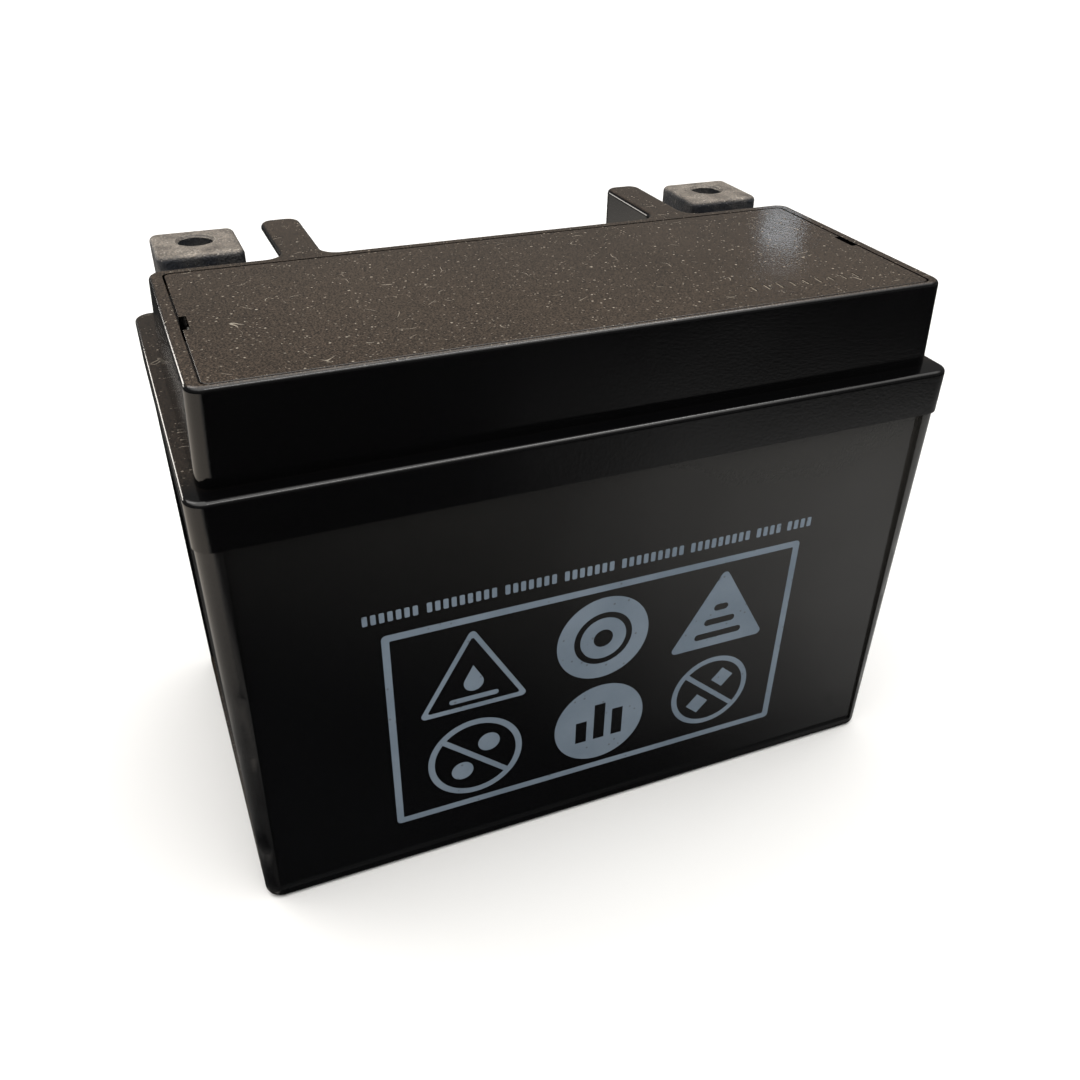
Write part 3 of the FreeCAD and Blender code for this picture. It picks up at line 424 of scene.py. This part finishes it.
def printed(name, loops, face, thickness):
    """Loops in the panel's own x and z, in mm, as one thin closed solid on the panel's face."""
    outline = bpy.data.curves.new(name, "CURVE")
    outline.dimensions = "2D"
    outline.fill_mode = "BOTH"
    outline.extrude = thickness / 2
    for loop in loops:
        spline = outline.splines.new("POLY")
        spline.points.add(len(loop) - 1)
        for point, (u, v) in zip(spline.points, loop):
            point.co = (u * MM, v * MM, 0, 1)
        spline.use_cyclic_u = True
    holder = bpy.data.objects.new(name, outline)
    bpy.context.scene.collection.objects.link(holder)
    holder.rotation_euler = (math.pi / 2, 0, 0)
    holder.location = (0, face, 0)
    bpy.context.view_layer.update()
    graph = bpy.context.evaluated_depsgraph_get()
    mesh = bpy.data.meshes.new_from_object(holder.evaluated_get(graph))
    mesh.transform(holder.matrix_world)
    bpy.data.objects.remove(holder)
    bpy.data.curves.remove(outline)
    shape = bmesh.new()
    shape.from_mesh(mesh)
    bmesh.ops.remove_doubles(shape, verts=shape.verts, dist=1e-7)
    bmesh.ops.recalc_face_normals(shape, faces=shape.faces)
    shape.to_mesh(mesh)
    shape.free()
    mesh.name = name
    add_piece(name, mesh, INK)


def slashed_ring(middle, radius, stroke, turn):
    """A ring with a bar across it."""
    inner = radius - stroke
    return [
        arc(middle, radius),
        segment_loop(middle, inner, turn, stroke * 0.45),
        segment_loop(middle, inner, turn + math.pi, stroke * 0.45),
    ]


def panel_face():
    """Where the recessed front panel of the case lies."""
    _, point, _, _ = NODES["case"].ray_cast(Vector((0, -1, PANEL_RAY_HEIGHT)), Vector((0, 1, 0)))
    return point.y


INK = pad_ink("panel_ink")
INK_THICKNESS = 0.06 * MM
PANEL_RAY_HEIGHT = 45 * MM

# The print's layout, in mm: across from the middle of the panel, and up from the floor.
FRAME_MIDDLE = (0, 36.7)
FRAME_WIDTH, FRAME_HEIGHT = 91.6, 50.5
FRAME_STROKE = 1.5
DASH_ROW = 66.2
DASH_REACH = 49.0
DASH_WIDTH, DASH_HEIGHT, DASH_ROUND = 1.0, 2.2, 0.25
DASH_STEP = 1.6
GROUP_SIZES = (2, 4, 5, 7, 9)
GROUP_GAP = 1.1
MARK_COLUMNS = (-28.0, 0.3, 28.2)
MARK_ROWS = (48.4, 25.0)
TRIANGLE_WIDTH, TRIANGLE_HEIGHT, TRIANGLE_DROP = 23.6, 20.4, 9.7
RING_RADII = (10.4, 6.6, 5.2, 2.2)
BAR_WIDTHS = (11.5, 7.5, 3.5)
BAR_STROKE, BAR_STEP, BAR_DROP = 1.7, 3.6, 6.6
DISC_RADIUS = 10.6
COLUMN_HEIGHTS = (6.0, 10.0, 7.6)
COLUMN_WIDTH, COLUMN_STEP, COLUMN_DROP = 2.6, 4.3, 4.8
DOT_RADIUS = 2.4
BLOCK_SIZE = 3.9
SLASH_TURN = math.radians(-42)


def print_panel():
    """A plain frame with six geometric marks, and a row of dashes above it. It carries no lettering."""
    face = panel_face() - INK_THICKNESS / 3
    left, middle, right = MARK_COLUMNS
    upper, lower = MARK_ROWS
    open_width = FRAME_WIDTH - 2 * FRAME_STROKE
    open_height = FRAME_HEIGHT - 2 * FRAME_STROKE
    frame_loops = [
        rounded_loop(FRAME_MIDDLE, FRAME_WIDTH, FRAME_HEIGHT, 1.0),
        rounded_loop(FRAME_MIDDLE, open_width, open_height, 0.3),
    ]
    printed("print_frame", frame_loops, face, INK_THICKNESS)

    random.seed(11)
    dashes = []
    at = -DASH_REACH
    while at < DASH_REACH:
        for _ in range(random.choice(GROUP_SIZES)):
            if at < DASH_REACH + DASH_WIDTH:
                middle_of_dash = (at + DASH_WIDTH / 2, DASH_ROW)
                dashes.append(rounded_loop(middle_of_dash, DASH_WIDTH, DASH_HEIGHT, DASH_ROUND))
            at += DASH_STEP
        at += GROUP_GAP
    printed("print_strokes", dashes, face, INK_THICKNESS)

    outlined = [
        triangle_loop((left, upper - TRIANGLE_DROP), TRIANGLE_WIDTH, TRIANGLE_HEIGHT, 0.9),
        triangle_loop((left, upper - 8.6), 20.0, 17.2, 0.4),
        drop_loop((left, upper - 3.0), 2.1),
        pill_loop((left, upper - 6.9), 10.5, 1.2),
    ]
    printed("print_mark_1", outlined, face, INK_THICKNESS)

    ringed = [arc((middle, upper), radius) for radius in RING_RADII]
    printed("print_mark_2", ringed, face, INK_THICKNESS)

    solid = [triangle_loop((right, upper - TRIANGLE_DROP), TRIANGLE_WIDTH, TRIANGLE_HEIGHT, 1.0)]
    for step, width in enumerate(BAR_WIDTHS):
        solid.append(pill_loop((right, upper - BAR_DROP + BAR_STEP * step), width, BAR_STROKE))
    printed("print_mark_3", solid, face, INK_THICKNESS)

    crossed = slashed_ring((left, lower), 10.4, 1.4, SLASH_TURN)
    crossed.append(arc((left + 3.0, lower + 3.2), DOT_RADIUS, steps=32))
    crossed.append(arc((left - 3.0, lower - 3.2), DOT_RADIUS, steps=32))
    printed("print_mark_4", crossed, face, INK_THICKNESS)

    centre = middle + 0.3
    columns = [arc((centre, lower), DISC_RADIUS)]
    for step, height in enumerate(COLUMN_HEIGHTS):
        place = (centre + COLUMN_STEP * (step - 1), lower - COLUMN_DROP + height / 2)
        columns.append(box_loop(place, COLUMN_WIDTH, height))
    printed("print_mark_5", columns, face, INK_THICKNESS)

    boxed = slashed_ring((right, lower + 0.3), 9.7, 1.3, SLASH_TURN)
    boxed.append(box_loop((right + 2.9, lower + 3.4), BLOCK_SIZE, BLOCK_SIZE, SLASH_TURN))
    boxed.append(box_loop((right - 2.9, lower - 2.8), BLOCK_SIZE, BLOCK_SIZE, SLASH_TURN))
    printed("print_mark_6", boxed, face, INK_THICKNESS)


FLASH_MARGIN = 5 * MM
FLASH_CORNER = 8 * MM
FLASH_DEPTH = 0.5 * MM
FLASH_RADIUS = 0.13 * MM
FLASH_UNEVEN = 0.06 * MM
FLASH_POINTS = 7
END_STEPS, SIDE_STEPS, CORNER_STEPS = 150, 260, 24


def rays_round_the_case():
    """Rays that look inward, level, from a rounded rectangle outside the cover."""
    reach_x, reach_y = COVER_HIGH.x + FLASH_MARGIN, COVER_HIGH.y + FLASH_MARGIN
    rays = []
    for u, v in ((1, 0), (0, 1), (-1, 0), (0, -1)):
        across = Vector((-v, u, 0))
        out = Vector((u, v, 0))
        half = (reach_y if u else reach_x) - FLASH_CORNER
        depth = reach_x if u else reach_y
        steps = END_STEPS if u else SIDE_STEPS
        for i in range(steps):
            t = -half + 2 * half * i / steps
            rays.append((out * depth + across * t, -out))
        middle = out * (depth - FLASH_CORNER) + across * half
        for i in range(CORNER_STEPS):
            a = math.pi / 2 * i / CORNER_STEPS
            away = out * math.cos(a) + across * math.sin(a)
            rays.append((middle + away * FLASH_CORNER, -away))
    return rays


def flash_ring(shape, start, inward):
    """The half-round section of the bead where one ray meets the case."""
    level = Vector((0, 0, COVER_LOW.z - FLASH_DEPTH))
    _, point, _, _ = NODES["case"].ray_cast(start + level, inward)
    uneven = noise.noise(Vector(point) * 140) + 0.6 * noise.noise(Vector(point) * 700)
    radius = FLASH_RADIUS + FLASH_UNEVEN * uneven
    middle = Vector((point.x, point.y, COVER_LOW.z)) - inward * radius * 0.4
    ring = []
    for k in range(FLASH_POINTS):
        a = math.pi * (k / (FLASH_POINTS - 1)) + math.pi
        spot = middle - inward * math.cos(a) * radius
        spot.z += math.sin(a) * radius * 1.2
        ring.append(shape.verts.new(spot))
    return ring


def seam_flash():
    """The thin uneven bead of plastic squeezed out below the lid's rim when it was welded on."""
    shape = bmesh.new()
    rings = [flash_ring(shape, start, inward) for start, inward in rays_round_the_case()]
    for here, following in zip(rings, rings[1:] + rings[:1]):
        for k in range(FLASH_POINTS):
            j = (k + 1) % FLASH_POINTS
            shape.faces.new((here[k], here[j], following[j], following[k]))
    bmesh.ops.recalc_face_normals(shape, faces=shape.faces)
    mesh = bpy.data.meshes.new("seam_flash")
    shape.to_mesh(mesh)
    shape.free()
    for face in mesh.polygons:
        face.use_smooth = True
    add_piece("seam_flash", mesh, FINISHES["case_plastic"])


# ---------------------------------------------------------------- stage


ROOM_GLOW = 0.025
RIGHT_GLOW = 0.60
LEFT_GLOW = 1.0
HORIZON_GLOW, ZENITH_GLOW = 0.12, 2.45
ROOM_TINT = rgb(1.0, 0.985, 0.96)
LEFT_TINT = rgb(1.0, 0.90, 0.78)


def studio_world():
    """A bright sky over a dark room. The room is what the glossy walls mirror.

    A pale patch low on the right, and a narrower one on the left, give the walls their sheen.
    """
    world = bpy.data.worlds.new("studio")
    world.use_nodes = True
    g = Graph(world.node_tree, "Generated")
    course = g.add("SeparateXYZ", Vector=g.place)
    height = course.outputs["Z"]
    level = g.math("SQRT", g.math("SUBTRACT", 1.0, g.math("MULTIPLY", height, height)))
    across = g.math("DIVIDE", course.outputs["X"], g.math("MAXIMUM", level, 0.01))
    overhead = g.ramp(height, 0.50, 0.92, HORIZON_GLOW, ZENITH_GLOW)
    sky = g.math("MULTIPLY", g.ramp(height, -0.02, 0.02), overhead)
    band = g.math("MULTIPLY", g.ramp(height, -0.33, -0.50), g.ramp(height, -0.71, -0.55))
    right = g.math("MULTIPLY", band, g.ramp(across, 0.30, 0.74, 0.0, RIGHT_GLOW))
    strip = g.math("MULTIPLY", g.ramp(height, -0.12, -0.32), g.ramp(height, -0.78, -0.50))
    left = g.math("MULTIPLY", strip, g.ramp(across, -0.20, -0.62, 0.0, LEFT_GLOW))
    light = g.math("ADD", g.math("ADD", sky, ROOM_GLOW), g.math("ADD", right, left))
    tint = g.mix(g.math("MINIMUM", left, 1.0), ROOM_TINT, LEFT_TINT)
    background = g.tree.nodes["Background"]
    g.feed(background.inputs["Color"], tint)
    g.feed(background.inputs["Strength"], light)
    bpy.context.scene.world = world


def add_stage(name, corners, faces, material):
    """A part of the stage. Glossy faces don't mirror it."""
    mesh = bpy.data.meshes.new(name)
    mesh.from_pydata(corners, [], faces)
    mesh.materials.append(material)
    part = bpy.data.objects.new(name, mesh)
    part.visible_glossy = False
    bpy.context.scene.collection.objects.link(part)
    return part


# All in metres. The stage's walls stand at its edges.
STAGE_HALF = 4.0
STAGE_RISE = 5.0


def set_stage():
    """A pale floor, and white walls that only the camera sees."""
    g = Finish("studio_floor")
    tone = g.ramp(g.noise(3, 3), 0.3, 0.7)
    pale = g.mix(tone, rgb(0.88, 0.88, 0.88), rgb(0.90, 0.90, 0.895))
    floor = g.finish(Base_Color=pale, Roughness=0.85)
    ring = [(u * STAGE_HALF, v * STAGE_HALF) for u, v in ((-1, -1), (1, -1), (1, 1), (-1, 1))]
    low = [(x, y, 0) for x, y in ring]
    high = [(x, y, STAGE_RISE) for x, y in ring]
    add_stage("studio_floor", low, [(0, 1, 2, 3)], floor)

    g = Finish("studio_backdrop")
    white = g.finish(Base_Color=rgb(0, 0, 0), Emission_Color=rgb(1, 1, 1), Emission_Strength=1.0)
    walls = [(i, (i + 1) % 4, (i + 1) % 4 + 4, i + 4) for i in range(4)]
    backdrop = add_stage("studio_backdrop", low + high, walls, white)
    backdrop.visible_diffuse = False
    backdrop.visible_shadow = False


# Each light's name, place in metres, width and height in metres, power in watts, and colour.
LIGHTS = (
    ("key", (-0.55, 0.50, 0.95), (0.55, 0.55), 2.0, (1.0, 0.97, 0.93)),
    ("overhead", (0.35, -0.28, 1.20), (1.3, 0.10), 3.0, (1.0, 0.99, 0.97)),
    ("back_right", (0.711, 0.910, 0.414), (0.05, 0.02), 0.010, (0.80, 0.90, 1.0)),
    ("back_left", (-0.75, 1.15, 0.25), (0.45, 0.30), 2.5, (1.0, 0.95, 0.88)),
)
LIGHT_TARGET = Vector((0, 0, 0.07))


def set_lights():
    """Soft studio light from above and behind, turned towards the battery."""
    for name, place, size, power, colour in LIGHTS:
        data = bpy.data.lights.new(name, "AREA")
        data.shape = "RECTANGLE"
        data.size, data.size_y = size
        data.energy = power
        data.color = colour
        light = bpy.data.objects.new(name, data)
        bpy.context.scene.collection.objects.link(light)
        light.location = place
        light.rotation_euler = (LIGHT_TARGET - Vector(place)).to_track_quat("-Z", "Y").to_euler()


# The camera that took the photograph. The sensor and the lens are in mm, the shift is a share of
# the sensor's width, the place is in metres and the turn in degrees.
SENSOR_WIDTH = 36.0
FOCAL_LENGTH = 34.617
LENS_SHIFT = (-0.0034, 0.0355)
CAMERA_PLACE = (-0.07784, -0.19143, 0.18135)
CAMERA_TURN = (54.846, -1.045, -22.636)


def set_camera():
    """Stands the camera where the photograph's was."""
    data = bpy.data.cameras.new("camera")
    data.sensor_width = SENSOR_WIDTH
    data.lens = FOCAL_LENGTH
    data.shift_x, data.shift_y = LENS_SHIFT
    camera = bpy.data.objects.new("camera", data)
    bpy.context.scene.collection.objects.link(camera)
    camera.location = CAMERA_PLACE
    camera.rotation_euler = Euler([math.radians(angle) for angle in CAMERA_TURN], "XYZ")
    bpy.context.scene.camera = camera
    bpy.context.scene.view_settings.view_transform = "Standard"


dress_cad_nodes()
print_panel()
seam_flash()
set_stage()
studio_world()
set_lights()
set_camera()
